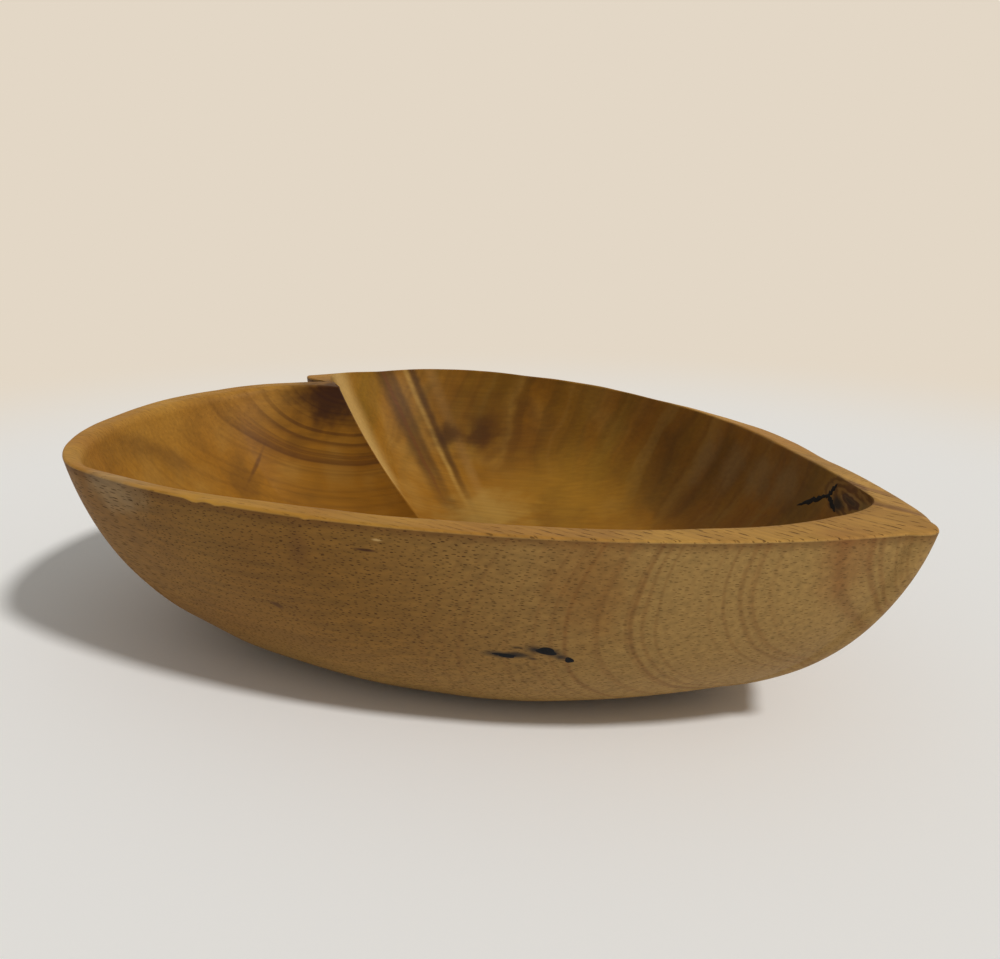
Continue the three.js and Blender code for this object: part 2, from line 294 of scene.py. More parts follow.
def body_object():
    rings = outside + rim + inside
    count = len(rings[0])
    points = np.vstack([np.append(BASE_MIDDLE, 0.0), *rings, np.append(FLOOR_MIDDLE, FLOOR_THICKNESS)])
    for chip in CHIPS:
        press_chip(points, *chip)
    last = len(points) - 1
    faces = []
    for step in range(count):
        here, beside = 1 + step, 1 + (step + 1) % count
        faces.append((0, here, beside))
        for ring in range(len(rings) - 1):
            low, high = ring * count, (ring + 1) * count
            faces.append((here + low, here + high, beside + high, beside + low))
        end = (len(rings) - 1) * count
        faces.append((here + end, last, beside + end))
    made = mesh_object("carved_bowl", (points + SHIFT) * MM, faces)
    worn = (cut["hollow_round"] - RIM_ROUND) / (WIDE_HOLLOW_ROUND - RIM_ROUND)
    from_edge = np.arange(len(rings)) - (len(outside) + len(rim) - ROUND_STEPS) + 1
    deep = np.clip(from_edge[:, None] / (ROUND_STEPS + WORN_RINGS * worn), 0, 1)
    top = np.where(np.arange(len(rings))[:, None] < len(outside), 0.0, 1 - deep)
    values = {
        "on_rim": np.concatenate([[0.0], top.ravel(), [0.0]]),
        "in_hollow": np.concatenate([[0.0], deep.ravel(), [1.0]]),
        "round_mm": np.concatenate([[0.0], np.tile(round_from_cleft(), len(rings)), [0.0]]),
    }
    for name, row in values.items():
        made.data.attributes.new(name, "FLOAT", "POINT").data.foreach_set("value", row)
    on_wall = np.zeros((len(points), 3))
    on_wall[1:1 + len(outside) * count] = on_outer_wall()
    made.data.attributes.new("wall_mm", "FLOAT_VECTOR", "POINT").data.foreach_set("vector", on_wall.ravel())
    return made


bowl = body_object()
wall_top = max(point.vector.y for point in bowl.data.attributes["wall_mm"].data)
print("faces of the body:", len(bowl.data.polygons))

# %% [markdown]
# The camera stands where the photograph was taken from, found from the level rim and the table's edge.
# It comes before the wood, because the marks in the wood are placed by the pixel where each one is seen:
# a ray from the camera through that pixel gives the point on the bowl's own skin.

# %% Camera
CAMERA_PLACE = Vector((np.array((-265.7, -124.9, 159.8)) + SHIFT) * MM)
CAMERA_AHEAD = Vector((0.67006, 0.74230, 0.0))
CAMERA_PITCH = math.radians(16)
PIXEL_FOCUS, PICTURE_WIDTH, PICTURE_HEIGHT, SENSOR = 1100, 1000, 959, 36.0

look = CAMERA_AHEAD * math.cos(CAMERA_PITCH) - Vector((0, 0, math.sin(CAMERA_PITCH)))
camera = bpy.data.objects.new("camera", bpy.data.cameras.new("camera"))
camera.data.sensor_width = SENSOR
camera.data.lens = SENSOR * PIXEL_FOCUS / PICTURE_WIDTH
camera.location = CAMERA_PLACE
camera.rotation_euler = look.to_track_quat("-Z", "Y").to_euler()
bpy.context.scene.collection.objects.link(camera)
bpy.context.scene.camera = camera
bpy.context.scene.view_settings.view_transform = "Standard"


def skin_of(piece):
    return BVHTree.FromPolygons(
        [v.co.copy() for v in piece.data.vertices], [tuple(p.vertices) for p in piece.data.polygons])


def seen_at(skin, pixel):
    """The point of the skin at a pixel of the picture, and the face that it is on."""
    right = Vector((CAMERA_AHEAD.y, -CAMERA_AHEAD.x, 0))
    across = (pixel[0] - PICTURE_WIDTH / 2) / PIXEL_FOCUS
    upward = (PICTURE_HEIGHT / 2 - pixel[1]) / PIXEL_FOCUS
    spot, _, face, _ = skin.ray_cast(CAMERA_PLACE, look + right * across + right.cross(look) * upward)
    return spot, face


block_skin = skin_of(bowl)
print("camera at", [round(v, 4) for v in camera.location], "lens", round(camera.data.lens, 2))

# %% [markdown]
# Materials start with small helpers. One turns a hex colour into the linear numbers that a shader reads, and
# one adds a node with its settings and its inputs, by name or in order: each is a value, a socket or a node.
# Three more make what the wood needs often: stains, soft lines and uneven lines.

# %% Helpers for materials
MATH, RANGE, NOISE, MIX = "ShaderNodeMath", "ShaderNodeMapRange", "ShaderNodeTexNoise", "ShaderNodeMix"
MAPPING, AS_TEXTURE = "ShaderNodeMapping", {"vector_type": "TEXTURE"}
SEPARATE = "ShaderNodeSeparateXYZ"
VECTOR, LENGTH = "ShaderNodeVectorMath", {"operation": "LENGTH"}
TIMES, MINUS, OVER, TIMES_PLUS, LARGER = (
    {"operation": name} for name in ("MULTIPLY", "SUBTRACT", "DIVIDE", "MULTIPLY_ADD", "MAXIMUM"))
MIX_COLOUR, SOFT_STEP = {"data_type": "RGBA"}, {"interpolation_type": "SMOOTHSTEP"}
NOISE_MIDDLE = 0.5


def hex_colour(text):
    srgb = [int(text[i:i + 2], 16) / 255 for i in (1, 3, 5)]
    linear = [c / 12.92 if c <= 0.04045 else ((c + 0.055) / 1.055) ** 2.4 for c in srgb]
    return (*linear, 1.0)


def set_inputs(tree, node, inputs):
    for name, value in inputs.items() if isinstance(inputs, dict) else enumerate(inputs):
        if isinstance(value, bpy.types.Node):
            value = next(s for s in value.outputs if s.enabled)
        if isinstance(value, bpy.types.NodeSocket):
            tree.links.new(value, node.inputs[name])
        else:
            node.inputs[name].default_value = value


def add_node(tree, kind, settings=None, inputs=()):
    made = tree.nodes.new(kind)
    for name, value in (settings or {}).items():
        setattr(made, name, value)
    set_inputs(tree, made, inputs)
    return made


def new_material(name):
    """A material, its tree, its shader and the socket with each point's place on the object."""
    material = bpy.data.materials.new(name)
    material.use_nodes = True
    tree = material.node_tree
    spot = add_node(tree, "ShaderNodeTexCoord").outputs["Object"]
    return material, tree, tree.nodes["Principled BSDF"], spot


def between(ends, unit=1.0):
    return {"From Min": ends[0] * unit, "From Max": ends[1] * unit}


def stain(tree, colour, shade, amount, zone=None):
    """The colour, a hex text or a node, changed towards a shade by an amount, within a zone."""
    base = hex_colour(colour) if isinstance(colour, str) else colour
    factor = amount if zone is None else add_node(tree, MATH, TIMES, (amount, zone))
    return add_node(tree, MIX, MIX_COLOUR, {0: factor, 6: base, 7: hex_colour(shade)})


def soft_line(tree, measure, middle, half, edges, strength):
    """How strongly a point lies on the line where a measure has its middle value."""
    off = add_node(tree, MATH, MINUS, (measure, middle))
    off = add_node(tree, MATH, {"operation": "ABSOLUTE"}, {0: off})
    return add_node(tree, RANGE, SOFT_STEP, {"Value": off, **between(edges, half), "To Max": strength})


def uneven_lines(tree, measure, width, low, high, strength, roughness=0.5):
    """Lines of uneven width and strength, across a measure."""
    across = add_node(tree, MATH, OVER, (measure, width))
    noise = add_node(tree, NOISE, {"noise_dimensions": "1D"}, {
        "W": across, "Scale": 1.0, "Detail": 2.0, "Roughness": roughness})
    return add_node(tree, RANGE, SOFT_STEP, {
        "Value": noise, **between((low, high)), "To Max": strength})


print("white in linear numbers:", hex_colour("#ffffff"))

# %% [markdown]
# The wood is an open-pored tropical hardwood, finished with a little oil, so it has a satin look.
# Its fibres run along the heart. A picture stretched over the bowl would slide on the curved walls, so
# the figure is a solid pattern in space, as in a real block. First come the growth lines: the layers of the
# tree bulge away from the tip, and the outer wall cuts them in thin reddish curves.

# %% Growth lines round the tip
LAYER_LEAN, LAYER_LEVEL, LAYER_BEND = 0.6, 58.0, 0.0093
GROWTH_LINES = ((5, 0.5, 0.3), (7.4, 0.4, 0.25), (10, 0.6, 0.4), (11.6, 0.7, 0.5), (16.2, 1.5, 0.45),
                (30.4, 0.6, 0.4), (32.6, 0.7, 0.4), (35.8, 0.5, 0.35), (48.8, 0.5, 0.3), (51.5, 0.7, 0.35),
                (54, 0.8, 0.55), (69.2, 0.8, 0.5), (73, 0.5, 0.3))
LINE_EDGES, LINE_SHARE, LINE_WANDER, WANDER_SIZE = (1.25, 0.1), 0.75, 3.0, 30.0
FAINT_LINE, FAINT_FADE, FAINT_LEFT = 4.0, (75.0, 150.0), 0.15
FAINT_NOISE, FAINT_STRENGTH, FAINT_ROUGHNESS = (0.50, 0.75), 0.30, 0.6


def growth_lines(tree, spot, from_tip, colour, outside):
    """Thin reddish lines on the outer wall, with faint ones between them that fade away from the tip."""
    add = partial(add_node, tree)
    height = add(SEPARATE, None, {0: spot}).outputs["Z"]
    lean = add(MATH, TIMES_PLUS, (from_tip, LAYER_LEAN, height))
    lean = add(MATH, MINUS, (lean, LAYER_LEVEL * MM))
    square = add(MATH, TIMES, (lean, lean))
    layer = add(MATH, TIMES_PLUS, (square, LAYER_BEND / MM, from_tip))
    wander = add(NOISE, None, {"Vector": spot, "Scale": 1 / (WANDER_SIZE * MM)})
    drift = add(MATH, MINUS, (wander, NOISE_MIDDLE))
    layer = add(MATH, TIMES_PLUS, (drift, LINE_WANDER * MM, layer))
    fade = add(RANGE, SOFT_STEP, {"Value": layer, **between(FAINT_FADE[::-1], MM), "To Min": FAINT_LEFT})
    faint = uneven_lines(tree, layer, FAINT_LINE * MM, *FAINT_NOISE, FAINT_STRENGTH, FAINT_ROUGHNESS)
    total = add(MATH, TIMES, (faint, fade))
    for depth, half, strength in GROWTH_LINES:
        line = soft_line(tree, layer, depth * MM, half * MM, LINE_EDGES, strength)
        total = add(MATH, LARGER, (total, line))
    total = add(MATH, TIMES, (total, LINE_SHARE))
    return stain(tree, colour, "#6a3a14", total, outside)


print("growth lines, mm from the tip:", [line[0] for line in GROWTH_LINES])

# %% [markdown]
# In the hollow the cut runs across the growth rings in other ways. Beside the ridge the wide lobe has thin
# dark arcs, and the narrow lobe has leaning stripes and cloudy streaks, with soft blotches all over. The
# widest pale stripe lies on the sunlit side of the ridge and is partly painted light.
# The arcs are distances from a point just above the rim at the cleft. The stripes follow the wall, so they
# read how far round the bowl a point is, from the value that each point of the skin keeps.

# %% Arcs and stripes in the hollow
ARC_FOCUS = tuple((np.array((-2.0, 258.0, 75.0)) + SHIFT) * MM)
ARC_TONES = ((14.0, 0.38, 0.75, "#704208", 0.60), (3.4, 0.44, 0.74, "#4e2b04", 0.60))
ARC_FADE, ARC_LEFT, ARC_SQUASH, ARC_WANDER, ARC_DRIFT = (56.0, 78.0), 0.3, 0.6, 7.0, 45.0
DARK_ARCS, DARK_ARC_EDGES = ((64.5, 1.8, 0.60), (60.5, 0.8, 0.45)), (1.8, 0.2)
LOBE_SEAM, CLOUD_SIZE, BLOTCH_SIZE = 1.0, 30.0, (16.0, 30.0, 24.0)
BLOTCHES = ((0.48, 0.75, "#b0853c", 0.38), (0.50, 0.28, "#5a3804", 0.45))
STREAK_TONES = ((9.0, 0.36, 0.78, "#553806", 0.40), (23.4, 0.36, 0.75, "#806014", 0.55),
                (15.3, 0.50, 0.80, "#a8823a", 0.45))
STREAK_WANDER, STREAK_LEAN, STREAK_FOOT = 22.0, 0.55, (18.0, 40.0)
STRIPE_LEAN, STRIPE_RIPPLE, STRIPE_FOOT, STRIPE_EDGES = 0.35, 3.0, (12.0, 28.0), (1.9, 0.2)
STRIPES = {
    # partly painted light on the sunlit side of the ridge, partly a pale stripe of the grain
    "lit_side_and_pale_grain_by_ridge": ((358, 420), 6.5, "#c39c58", 0.9),
    "dark_band": ((398, 405), 3.2, "#472a08", 0.7),
    "red_line": ((394, 395), 0.8, "#6b3d12", 0.6),
    "thin_pale": ((414, 390), 1.2, "#b48a40", 0.75),
    "thin_dark": ((425, 400), 1.7, "#3a2004", 0.7),
    "second_dark": ((413, 418), 1.6, "#3f2506", 0.55),
    "thin_tan": ((440, 395), 2.5, "#a4783a", 0.5),
}


def stripe_at(pixel):
    """How far round the bowl from the cleft, in mm, a leaning stripe through a pixel is."""
    spot, face = seen_at(block_skin, pixel)
    corner = bowl.data.polygons[face].vertices[0]
    return bowl.data.attributes["round_mm"].data[corner].value + STRIPE_LEAN * spot.z / MM


def hollow_figure(tree, spot, colour, hollow, round_mm):
    add = partial(add_node, tree)
    level = add(SEPARATE, None, {0: spot}).outputs["Z"]
    wander = add(NOISE, None, {"Vector": spot, "Scale": 1 / (CLOUD_SIZE * MM), "Detail": 2.0})
    wide = add(RANGE, SOFT_STEP, {"Value": round_mm, "From Min": LOBE_SEAM, "From Max": -LOBE_SEAM})
    wide = add(MATH, TIMES, (wide, hollow))
    narrow = add(MATH, MINUS, (hollow, wide))
    feet = []
    for foot in (STREAK_FOOT, STRIPE_FOOT):
        above = add(RANGE, SOFT_STEP, {"Value": level, **between(foot, MM)})
        feet.append(add(MATH, TIMES, (above, narrow)))
    local = add(MAPPING, AS_TEXTURE, {"Vector": spot, "Location": ARC_FOCUS, "Scale": (1.0, 1.0, ARC_SQUASH)})
    away = add(VECTOR, LENGTH, {0: local})
    near = add(RANGE, SOFT_STEP, {"Value": away, **between(ARC_FADE[::-1], MM), "To Min": ARC_LEFT})
    near = add(MATH, TIMES, (near, wide))
    drift = add(NOISE, None, {"Vector": spot, "Scale": 1 / (ARC_DRIFT * MM), "Detail": 1.0})
    reach = add(MATH, TIMES_PLUS, (drift, ARC_WANDER * MM, away))
    stretched = add(MAPPING, AS_TEXTURE, {"Vector": spot, "Scale": tuple(size * MM for size in BLOTCH_SIZE)})
    blotches = add(NOISE, None, {"Vector": stretched, "Scale": 1.0, "Detail": 2.0})
    for low, high, shade, strength in BLOTCHES:
        blotch = add(RANGE, SOFT_STEP, {
            "Value": blotches, **between((low, high)), "To Max": strength})
        colour = stain(tree, colour, shade, blotch, hollow)
    streak = add(MATH, TIMES_PLUS, (level, -STREAK_LEAN / MM, round_mm))
    streak = add(MATH, TIMES_PLUS, (wander, STREAK_WANDER, streak))
    for measure, where, unit, tones in ((reach, near, MM, ARC_TONES), (streak, feet[0], 1.0, STREAK_TONES)):
        for width, low, high, shade, strength in tones:
            lines = uneven_lines(tree, measure, width * unit, low, high, strength)
            colour = stain(tree, colour, shade, lines, where)
    for depth, half, strength in DARK_ARCS:
        arc = soft_line(tree, reach, depth * MM, half * MM, DARK_ARC_EDGES, strength)
        colour = stain(tree, colour, "#55300a", arc, wide)
    leaning = add(MATH, TIMES_PLUS, (level, STRIPE_LEAN / MM, round_mm))
    ripple = add(MATH, MINUS, (wander, NOISE_MIDDLE))
    leaning = add(MATH, TIMES_PLUS, (ripple, STRIPE_RIPPLE, leaning))
    for pixel, half, shade, strength in STRIPES.values():
        stripe = soft_line(tree, leaning, stripe_at(pixel), half, STRIPE_EDGES, strength)
        colour = stain(tree, colour, shade, stripe, feet[1])
    return colour


print("stripes, mm round from the cleft:", {n: round(stripe_at(s[0]), 1) for n, s in STRIPES.items()})

# %% [markdown]
# Single marks make the block a particular one: blotches and a reddish cloud in the hollow, streaks on the far
# wall, the dye that the dark filler left in the wood, and small flecks. Others are painted light and shade:
# the dark spot under the cleft is painted shade over dark heartwood, a dark patch on the inner wall by the
# tip is painted shade, a pale patch at the foot of the ridge is a painted highlight, and a pale patch on the
# outer wall at the wide lobe's end is a painted sheen.
# Each is a soft ellipsoid with an uneven edge, set on the skin where its pixel is seen. Its half sizes in mm
# are across the picture, ahead and up, and a last number tilts it in degrees. The marks on the rim lie along
# the fibres instead, and one blot covers both the knot and the wood beside it.

# %% Marks in the wood
MARKS = {
    # painted shade in the cleft, laid over dark heartwood
    "cleft_shade_and_heartwood": ((330, 400), (17, 18, 11), "#2a0c02", 0.9),
    "left_blotch": ((448, 435), (7, 7, 6), "#301602", 0.75),
    "right_blotch": ((482, 434), (7, 7, 7), "#2a1202", 0.8),
    "ridge_smoke": ((468, 415), (30, 30, 20), "#4a2a05", 0.4),
    "red_cloud": ((525, 440), (26, 26, 16), "#5a3004", 0.45),
    "clear_patch": ((590, 488), (36, 36, 16), "#a87a20", 0.45),
    "dark_wall": ((655, 480), (12, 12, 30), "#4a2d04", 0.35),
    # painted shade on the inner wall by the tip
    "tip_painted_shade": ((800, 492), (12, 16, 14), "#3a2409", 0.4),
    # painted highlight at the foot of the ridge
    "painted_highlight_at_ridge_foot": ((488, 513), (17, 17, 8), "#b8964c", 0.4),
    "line_down": ((256, 466), (0.8, 9, 9), "#54300c", 0.65, 18),
    "left_streak": ((138, 446), (2, 14, 9), "#6b4614", 0.55, -42),
    "next_streak": ((172, 460), (1.8, 14, 7.5), "#6b4614", 0.55, -42),
    "far_pale_1": ((705, 458), (2.2, 12, 11), "#8e7040", 0.65, 24),
    "far_dark_1": ((718, 463), (1.6, 12, 11), "#3a2608", 0.25, 24),
    "far_pale_2": ((732, 466), (2, 12, 10), "#8e7040", 0.65, 24),
    "far_dark_2": ((747, 471), (1.6, 12, 10), "#3a2608", 0.25, 24),
    "far_pale_3": ((761, 475), (2, 12, 9), "#8e7040", 0.65, 24),
    "far_dark_3": ((773, 479), (1.4, 12, 9), "#3a2608", 0.25, 24),
    "far_pale_4": ((785, 483), (1.8, 12, 8), "#8e7040", 0.6, 24),
    "tip_pale": ((862, 508), (4, 4, 1.8), "#94783f", 0.6),
    "front_patch": ((592, 585), (12, 14, 19), "#80531f", 0.5),
    "front_smear": ((298, 548), (3, 3, 8), "#69431a", 0.5),
    "front_fleck": ((365, 550), (3, 2, 0.4), "#3c1d0b", 0.9),
    "small_fleck": ((277, 605), (2.2, 2, 0.7), "#4f3012", 0.75, 15),
    "raised_fibre": ((377, 540), (1.4, 1, 0.35), "#d0aa6c", 0.7),
    # painted sheen on the outer wall at the wide lobe's end
    "left_painted_sheen": ((112, 487), (22, 9, 7), "#a48e6a", 0.45, 8),
    "filler_dye_left": ((505, 655), (6, 5, 1.2), "#1c1e1c", 0.9),
    "filler_dye_next": ((519, 655), (4, 4, 1), "#262018", 0.8),
    "filler_dye_large": ((536, 650), (3, 3.2, 1.7), "#14171a", 0.95),
    "filler_dye_right": ((552, 653), (3, 3.4, 1.5), "#14171a", 0.9),
    "filler_dye_small": ((560, 657), (2, 2, 1.2), "#14171a", 0.9),
    "fleck_above": ((517, 648), (1.7, 1.2, 0.45), "#38270f", 0.8),
    "fleck_below": ((533, 659), (1.6, 1.2, 0.55), "#2a1f14", 0.85),
    "tip_red": ((846, 560), (7, 7, 15), "#834f24", 0.4),
}
RIM_MARKS = {
    "rim_streak": ((896, 508), (2, 11, 4), "#5f371d", 0.6),
    "far_rim_streak": ((877, 491), (2.4, 13, 4), "#6c4224", 0.55),
}
KNOT_MARKS = {"knot_blot": ((838, 504), (3.4, 3.4, 2.0), "#120a04", 0.95)}
MARK_EDGE, EDGE_UNEVEN, MARK_FADE = 7.0, 1.3, (1.6, 0.25)
PICTURE_TURN = math.atan2(-CAMERA_AHEAD.x, CAMERA_AHEAD.y)


def uneven_edge(tree, spot):
    noise = add_node(tree, NOISE, None, {"Vector": spot, "Scale": 1 / (MARK_EDGE * MM), "Detail": 2.0})
    return add_node(tree, MATH, MINUS, (noise, NOISE_MIDDLE))


def wood_mark(tree, spot, edge, colour, pixel, half, shade, strength, tilt=0, turn=PICTURE_TURN):
    add = partial(add_node, tree)
    middle, _ = seen_at(block_skin, pixel)
    local = add(MAPPING, AS_TEXTURE, {
        "Vector": spot, "Location": tuple(middle), "Rotation": (0.0, math.radians(tilt), turn),
        "Scale": tuple(h * MM for h in half)})
    away = add(VECTOR, LENGTH, {0: local})
    away = add(MATH, TIMES_PLUS, (edge, EDGE_UNEVEN, away))
    factor = add(RANGE, SOFT_STEP, {"Value": away, **between(MARK_FADE), "To Max": strength})
    return stain(tree, colour, shade, factor)


print("marks in the wood:", len(MARKS))

# %% [markdown]
# The fibres of the trunk bend aside round a knot, so dark and pale rings lie about it and fade out into the
# straight wood. The knot is an oval on the inner wall near the tip. A frame that is 1 at its edge gives both
# these rings and the rings of the knot itself, so that they run together.

# %% Wood that bends round the knot
KNOT_ALONG, KNOT_RISE, KNOT_HALF_LENGTH, KNOT_HALF_HEIGHT = 0.80, 0.955, 9.0, 3.0
SWIRL_RINGS, SWIRL_REACH, SWIRL_STRENGTH = 1.5, (1.5, 2.5), 0.75
SWIRL_WOBBLE, WOBBLE_SCALE = 1.7, 0.9
STEP_ASIDE = 0.02


def wall_point(wall, index, share, rise):
    return Vector((wall(slices(index, share), np.atleast_1d(rise))[0] + SHIFT) * MM)


knot_middle = wall_point(inner_wall, FLANK, KNOT_ALONG, KNOT_RISE)
knot_along = wall_point(inner_wall, FLANK, KNOT_ALONG + STEP_ASIDE, KNOT_RISE) - knot_middle


def swirl_wave(tree, spot, rings):
    """How far out of the knot a point is, about 1 at its edge, and a wave of rings at that distance."""
    add = partial(add_node, tree)
    local = add(MAPPING, AS_TEXTURE, {
        "Vector": spot, "Location": tuple(knot_middle),
        "Rotation": (0.0, 0.0, math.atan2(knot_along.y, knot_along.x)),
        "Scale": (KNOT_HALF_LENGTH * MM, KNOT_HALF_HEIGHT * MM, KNOT_HALF_HEIGHT * MM)})
    away = add(VECTOR, LENGTH, {0: local})
    wobble = add(NOISE, None, {"Vector": local, "Scale": WOBBLE_SCALE, "Detail": 2.0})
    wobble = add(MATH, MINUS, (wobble, NOISE_MIDDLE))
    reach = add(MATH, TIMES_PLUS, (wobble, SWIRL_WOBBLE, away))
    turns = add(MATH, TIMES, (reach, 2 * math.pi * rings))
    wave = add(MATH, {"operation": "SINE"}, {0: turns})
    return reach, add(RANGE, SOFT_STEP, {"Value": wave, "From Min": -1.0})


def knot_swirl(tree, spot, colour):
    reach, wave = swirl_wave(tree, spot, SWIRL_RINGS)
    rings = stain(tree, "#4a2d10", "#8d6a34", wave)
    near = add_node(tree, RANGE, SOFT_STEP, {
        "Value": reach, **between(SWIRL_REACH[::-1]), "To Max": SWIRL_STRENGTH})
    return add_node(tree, MIX, MIX_COLOUR, {0: near, 6: colour, 7: rings})


print("knot at", [round(v / MM, 1) for v in knot_middle], "mm")

# %% [markdown]
# The open pores are the cut ends of the tree's vessels. The outer wall cuts them short, so there they are
# dashes in cells laid out along the wall. On the rim they lie in dotted rows along the fibres, which are
# darkest near the tip. In the smooth hollow none show. Each cell gives its pore a size and a depth by chance.

# %% Open pores
PORE_WIDTH, PORE_LENGTH, PORE_RADIUS = 0.7, 4.2, 0.36
PORE_ROW, ROW_HALF, ROW_SOFT, ROW_FADE, ROW_DARK = 2.6, 0.17, 1.4, (95.0, 45.0), (0.45, 0.95)
WALL_PORE_LENGTH, WALL_PORE_WIDTH, WALL_PORE_RADIUS, WALL_PORE_LEFT = 2.6, 0.78, 0.18, 0.55
PORE_SIZES, PORE_EDGE, PORE_DEPTHS = (0.65, 1.35), (1.15, 0.7), (0.5, 1.0)


def open_pores(tree, fibre, bent, from_tip, patches, on_rim, outside, on_wall):
    add = partial(add_node, tree)
    rim_cells = add(MAPPING, AS_TEXTURE, {
        "Vector": fibre, "Scale": (PORE_WIDTH * MM, PORE_LENGTH * MM, PORE_WIDTH * MM)})
    wall_cells = add(MAPPING, AS_TEXTURE, {
        "Vector": on_wall, "Scale": (WALL_PORE_LENGTH, WALL_PORE_WIDTH, 1.0)})
    row = add(MATH, OVER, (bent, PORE_ROW * MM))
    row = add(MATH, {"operation": "ADD"}, (row, patches))
    row = add(MATH, {"operation": "PINGPONG"}, (row, 0.5))
    row = add(RANGE, SOFT_STEP, {"Value": row, "From Min": ROW_SOFT * ROW_HALF, "From Max": ROW_HALF})
    by_tip = add(RANGE, SOFT_STEP, {
        "Value": from_tip, **between(ROW_FADE, MM),
        "To Min": ROW_DARK[0], "To Max": ROW_DARK[1]})
    rows = add(MATH, TIMES, (row, by_tip))
    rows = add(MATH, TIMES, (rows, on_rim))
    shallow = add(RANGE, SOFT_STEP, {
        "Value": from_tip, **between(ROW_FADE[::-1], MM), "To Min": WALL_PORE_LEFT})
    on_walls = add(MATH, TIMES, (shallow, outside))
    dashes = []
    for cells, flat, radius, zone in (
        (rim_cells, "3D", PORE_RADIUS, rows),
        (wall_cells, "2D", WALL_PORE_RADIUS, on_walls),
    ):
        cell = add("ShaderNodeTexVoronoi", {"voronoi_dimensions": flat}, {
            "Vector": cells, "Scale": 1.0}).outputs
        chance = add("ShaderNodeSeparateColor", None, {0: cell["Color"]}).outputs
        edge = add(RANGE, None, {
            "Value": chance["Red"], "To Min": PORE_SIZES[0] * radius, "To Max": PORE_SIZES[1] * radius})
        off = add(MATH, OVER, (cell["Distance"], edge))
        dash = add(RANGE, SOFT_STEP, {"Value": off, **between(PORE_EDGE)})
        depth = add(RANGE, None, {
            "Value": chance["Green"], "To Min": PORE_DEPTHS[0], "To Max": PORE_DEPTHS[1]})
        dash = add(MATH, TIMES, (dash, depth))
        dashes.append(add(MATH, {"operation": "MULTIPLY", "use_clamp": True}, (dash, zone)))
    return add(MATH, LARGER, (dashes[0], dashes[1]))


print("cells of the wall's pores in mm:", WALL_PORE_LENGTH, "by", WALL_PORE_WIDTH)

# %% [markdown]
# The wood is put together from these parts. Soft patches come first. The hollow, the outside and the tip then
# get their own tones, because each lies across the fibres in its own way; the darker tone of the outside is
# partly painted shade as well. The paler foot is painted light thrown up from the table, and the dark line
# under the rim is painted shade along with dark fibres.
# The figure, the marks, the fine streaks and the pores follow. The pores are also sunk and dull, while the
# rest has the low sheen of oil.

# %% Wood of the bowl
FIBRE_BEND, PATCH_SIZE, PATCH_TONES = 1.2, 50.0, (0.35, 0.70)
STREAK_WIDTH, STREAK_LENGTH, STREAK_TONE = 1.5, 60.0, (0.40, 0.22)
PAINTED_BOUNCE_RISE, PALE_TIP, TIP_ON_RIM, UNDER_RIM = (118.0, 60.0), (125.0, 35.0), 0.4, 3.5
SATIN, PORE_DULL, OIL_IOR, OIL_SHEEN = 0.62, 0.2, 1.48, 0.22
STREAK_RELIEF, RELIEF_STRENGTH, RELIEF_DEPTH = 0.4, 0.45, 0.3


